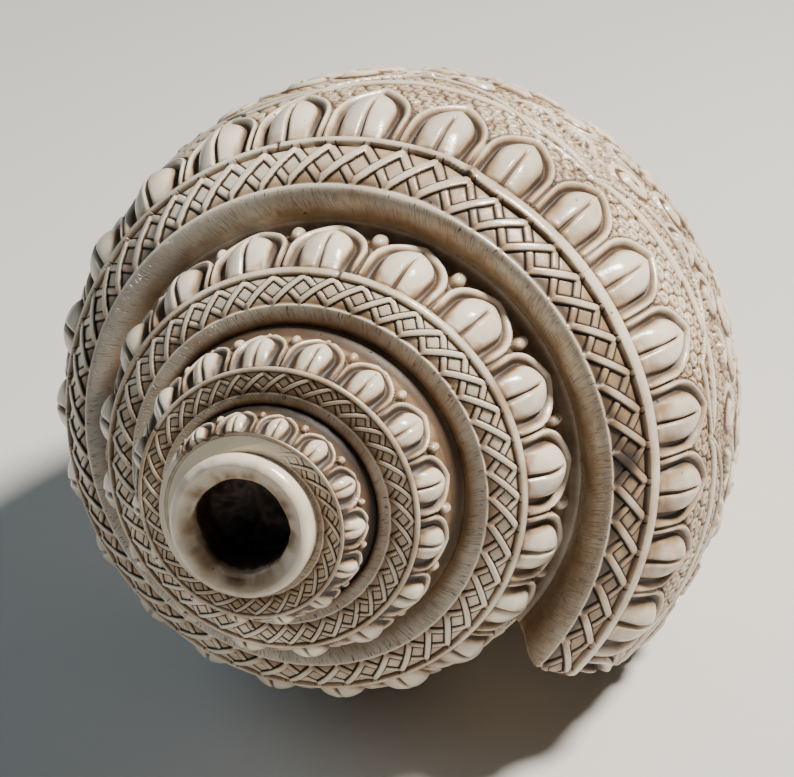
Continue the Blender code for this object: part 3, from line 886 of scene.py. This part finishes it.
bmesh.ops.recalc_face_normals(rim_mesh, faces=rim_mesh.faces)
# The spin leaves the faces in another order each run. They are sorted by their points'
# numbers: by the lowest one, and then by their sum.
rim_mesh.verts.index_update()
above_any_sum = 4 * len(rim_mesh.verts)
rim_mesh.faces.sort(key=lambda face: min(spot.index for spot in face.verts) * above_any_sum
                    + sum(spot.index for spot in face.verts))

rim_places, rim_stain_and_shade = [], []
for vertex in rim_mesh.verts:
    radius, z = math.hypot(vertex.co.x, vertex.co.y), vertex.co.z
    slow = noise.noise(vertex.co * 260 + Vector((3, 1, 4)))
    quick = noise.noise(vertex.co * 900)
    inner_edge = math.exp(-(((radius - HOLE_RADIUS - INNER_ROUND) / 0.0009) ** 2)) * (z > -0.0125)
    in_bore = share_of(RIM_TOP - 0.0022 - z, 0.0016) * (radius < HOLE_RADIUS + 0.0003)
    wear = 0.00030 * slow * (1 - in_bore) + 0.0004 * max(0, slow + 0.4 * quick - 0.25) * inner_edge
    rough = 0.00016 * (slow + 0.7 * quick) * in_bore
    scale = 1 + (wear * (radius < INNER_SLOPE) + rough) / max(radius, 0.001)
    drop = abs(wear) + (0.0010 * (slow + 0.5 * quick) * (z < -0.0160) if in_bore else 0)
    lean = RIM_LEAN * share_of(z + 0.0150, 0.004)
    rim_places.append((vertex.co.x * scale, vertex.co.y * scale - lean, z - drop))
    # The bore is painted near black as shade, the rim's inner slope a little darker as painted
    # shade, and the outer foot, where the rim meets the carving, darker as painted shade. The rest
    # are mottled stains and the marks of its worn inner edge.
    outside_foot = share_of(-0.0115 - z, 0.004) * (radius > 0.009)
    rim_stain_and_shade.append(0.05 + 0.20 * (radius < INNER_SLOPE) + 0.25 * max(0, slow)
                     + 0.5 * inner_edge * max(0, quick + 0.3)
                     + in_bore * (1.15 + 0.5 * slow + 0.3 * quick) + 0.9 * outside_foot)
rim_places = laid_down(np.array(rim_places))
rim = finished_mesh("blow_hole_rim", rim_mesh, rim_places, None,
                    plain_fields(np.array(rim_stain_and_shade), rim_places))
shell_piece(rim, shell_surface)

# ---------------------------------------------------------------------------------------------
# The mouth: the hollow winds in from the lip towards the spire, with folds on its inner wall.
# The lip's face closes the wall round it, and a cap closes the end of the canal.
# ---------------------------------------------------------------------------------------------
LIP_WALL, COLUMELLA_WALL, CANAL_WALL = 0.0034, 0.0016, 0.0012
TUBE_MIDDLE, TUBE_HALF = (0.60, -0.53), (0.38, 0.33)  # of the wound tube, in cord radii
MOUTH_OPENS_OVER = math.radians(400)
FOLD_HEIGHT, FOLD_PLACE, FOLD_SPREAD = 0.0012, 4.75, 0.62
LIP_FLARE = 0.0008
AROUND_STEPS = 72


def outline_radius(angle, height):
    """Outside radius of a turn at some heights, without its carving; turns before the last one
    are wound inside it and end higher up."""
    grown = min(cord_radius(angle) / cord_radius(TURN_START), 1.0)
    body = body_point(angle, np.linspace(0, 1, 48))
    top = section_point(angle, *shoulder(np.linspace(0, 1, 16)))
    fall = -TIP_TO_CANAL * grown ** 2
    low = top[1][-1] + (body[1] - body[1][0]) * (fall - top[1][-1]) / (body[1][-1] - body[1][0])
    radii = np.concatenate([top[0], body[0][1:]])
    heights = np.concatenate([top[1], low[1:]])
    return np.interp(height, heights[::-1], radii[::-1])


def hollow_ring(angle, turn, flare):
    """One ring of the hollow: a round tube deep inside that opens out to the tall mouth."""
    middle = section_point(angle, *TUBE_MIDDLE)
    size = cord_radius(angle)
    top, bottom = section_point(angle, 0, -0.20)[1], -TIP_TO_CANAL + CANAL_WALL
    share = min(max(1 + (angle - LIP_ANGLE) / MOUTH_OPENS_OVER, 0.0), 1.0) ** 1.3
    height = (top + bottom) / 2 + (top - bottom) / 2 * np.cos(turn)
    inner = outline_radius(angle - FULL_TURN, height) + COLUMELLA_WALL
    outer = outline_radius(angle, height) - LIP_WALL
    half = np.maximum((outer - inner) / 2, 0.0012)
    bow = half * np.abs(np.sin(turn)) ** 0.6 * np.sign(np.sin(turn))
    radius = middle[0] + TUBE_HALF[0] * size * np.sin(turn)
    radius = radius + ((inner + outer) / 2 + bow - radius) * share
    up = middle[1] + TUBE_HALF[1] * size * np.cos(turn)
    up = up + (height - up) * share
    folds = np.clip(np.sin(turn * 9.0 - 0.4), 0, 1) ** 1.5
    folds = folds * (np.abs(turn - FOLD_PLACE) < FOLD_SPREAD)
    inward = np.clip((LIP_ANGLE - angle) / 0.35 - 0.15, 0, 1)
    radius = radius + FOLD_HEIGHT * folds * inward + flare * np.sin(turn)
    return radius, up + flare * np.cos(turn) * 0.5


back = np.concatenate([[0, 0.004, 0.010, 0.018, 0.028, 0.045],
                       np.linspace(0.08, LIP_ANGLE - math.radians(150), 250)])
flares = LIP_FLARE * np.clip(1 - back / 0.028, 0, 1) ** 2
around = np.linspace(0, FULL_TURN, AROUND_STEPS + 1)
hollow_places = []
for depth, flare in zip(back, flares):
    angle = LIP_ANGLE - depth
    radius, height = hollow_ring(angle, around, flare)
    hollow_places.append(np.stack([radius * np.cos(angle), -radius * np.sin(angle), height], -1))
hollow_places.append(np.repeat(hollow_places[-1].mean(axis=0)[None], len(around), 0))
hollow_places = laid_down(np.array(hollow_places))
hollow_mesh = bmesh.new()
bmesh.ops.create_grid(hollow_mesh, x_segments=len(hollow_places) - 1, y_segments=AROUND_STEPS,
                      size=1)
for vertex in hollow_mesh.verts:
    i = round((vertex.co.x + 1) / 2 * (len(hollow_places) - 1))
    vertex.co = hollow_places[i, round((vertex.co.y + 1) / 2 * AROUND_STEPS)]
bmesh.ops.remove_doubles(hollow_mesh, verts=hollow_mesh.verts, dist=0.000002)
hollow_spots = np.array([vertex.co for vertex in hollow_mesh.verts])
mouth = finished_mesh("mouth_inside", hollow_mesh, hollow_spots, None,
                      plain_fields(np.full(len(hollow_spots), 0.12), hollow_spots))
shell_piece(mouth, shell_surface)


def filled_face(name, loops, toward):
    """A flat face inside the first loop of points, with the other loops left open."""
    mesh = bmesh.new()
    edges = []
    for loop in loops:
        spots = [mesh.verts.new(point) for point in loop]
        edges += [mesh.edges.new(pair) for pair in zip(spots, spots[1:] + spots[:1])]
    bmesh.ops.triangle_fill(mesh, use_beauty=True, edges=edges, normal=toward)
    places = np.array([vertex.co for vertex in mesh.verts])
    face_up = sum((face.normal * face.calc_area() for face in mesh.faces), Vector())
    if face_up.dot(toward) < 0:
        bmesh.ops.reverse_faces(mesh, faces=mesh.faces)
    piece = finished_mesh(name, mesh, places, None,
                          plain_fields(np.full(len(places), 0.15), places))
    piece.data.shade_flat()
    shell_piece(piece, shell_surface)


def without_repeats(points, nearest=0.00001):
    """The points without those that repeat the one before."""
    kept = [points[0]]
    for point in points[1:]:
        if np.linalg.norm(np.array(point) - kept[-1]) > nearest:
            kept.append(point)
    return kept[:-1] if np.linalg.norm(kept[0] - kept[-1]) < nearest else kept


lip_loop = without_repeats(end_column + start_column[::-1] + list(last_groove))
turned = LAID_DOWN.to_3x3()
ahead = turned @ Vector((-math.sin(LIP_ANGLE), -math.cos(LIP_ANGLE), 0))
filled_face("lip_face", [lip_loop, without_repeats(list(hollow_places[0]))], ahead)
filled_face("canal_end", [without_repeats(list(canal_edge))], turned @ Vector((0, 0, -1)))

# ---------------------------------------------------------------------------------------------
# The studio: a pale floor, a warm key light from the upper right, a weak cool fill light from
# the left, and the camera, which looks at the blow hole end.
# ---------------------------------------------------------------------------------------------
floor_mesh = bmesh.new()
bmesh.ops.create_grid(floor_mesh, x_segments=1, y_segments=1, size=4)
floor_data = bpy.data.meshes.new("floor")
floor_mesh.to_mesh(floor_data)
floor_mesh.free()
floor = bpy.data.objects.new("floor", floor_data)
bpy.context.scene.collection.objects.link(floor)
floor_paint = bpy.data.materials.new("floor_paint")
floor_paint.use_nodes = True
floor_shader = floor_paint.node_tree.nodes["Principled BSDF"]
floor_shader.inputs["Base Color"].default_value = (0.66, 0.65, 0.63, 1)
floor_shader.inputs["Roughness"].default_value = 0.7
floor.data.materials.append(floor_paint)

VIEW_TILT = 0.3729
VIEW_LEAN = 3.9102
VIEW_SHIFT = Vector((-0.5599, -0.4838, -5.7576)) * SPIRE_UNIT
turn_to_view = (Matrix.Rotation(VIEW_LEAN, 3, "Z") @ Matrix.Rotation(VIEW_TILT, 3, "Y")
                @ Matrix.Rotation(-VIEW_LEAN, 3, "Z"))
camera_data = bpy.data.cameras.new("camera")
camera_data.lens = 86.1
camera_data.sensor_width = 36
camera = bpy.data.objects.new("camera", camera_data)
bpy.context.scene.collection.objects.link(camera)
seen_from = turn_to_view.transposed().to_4x4()
seen_from.translation = -(turn_to_view.transposed() @ VIEW_SHIFT)
camera.matrix_world = LAID_DOWN @ seen_from
bpy.context.scene.camera = camera


def soft_light(name, place, size, power, colour, aim=(0, 0, 0.045)):
    data = bpy.data.lights.new(name, "AREA")
    data.shape = "DISK"
    data.size = size
    data.energy = power
    data.color = colour
    light = bpy.data.objects.new(name, data)
    light.location = place
    light.rotation_euler = (Vector(place) - Vector(aim)).to_track_quat("Z", "Y").to_euler()
    bpy.context.scene.collection.objects.link(light)


soft_light("key_light", (0.344, 0.115, 0.667), 0.13, 14, (1.0, 0.94, 0.85))
soft_light("fill_light", (-0.55, -0.15, 0.45), 0.6, 1.25, (0.68, 0.86, 1.0))
world = bpy.data.worlds.new("studio")
world.use_nodes = True
background = world.node_tree.nodes["Background"]
background.inputs["Color"].default_value = (0.8, 0.82, 0.85, 1)
background.inputs["Strength"].default_value = 0.06
bpy.context.scene.world = world
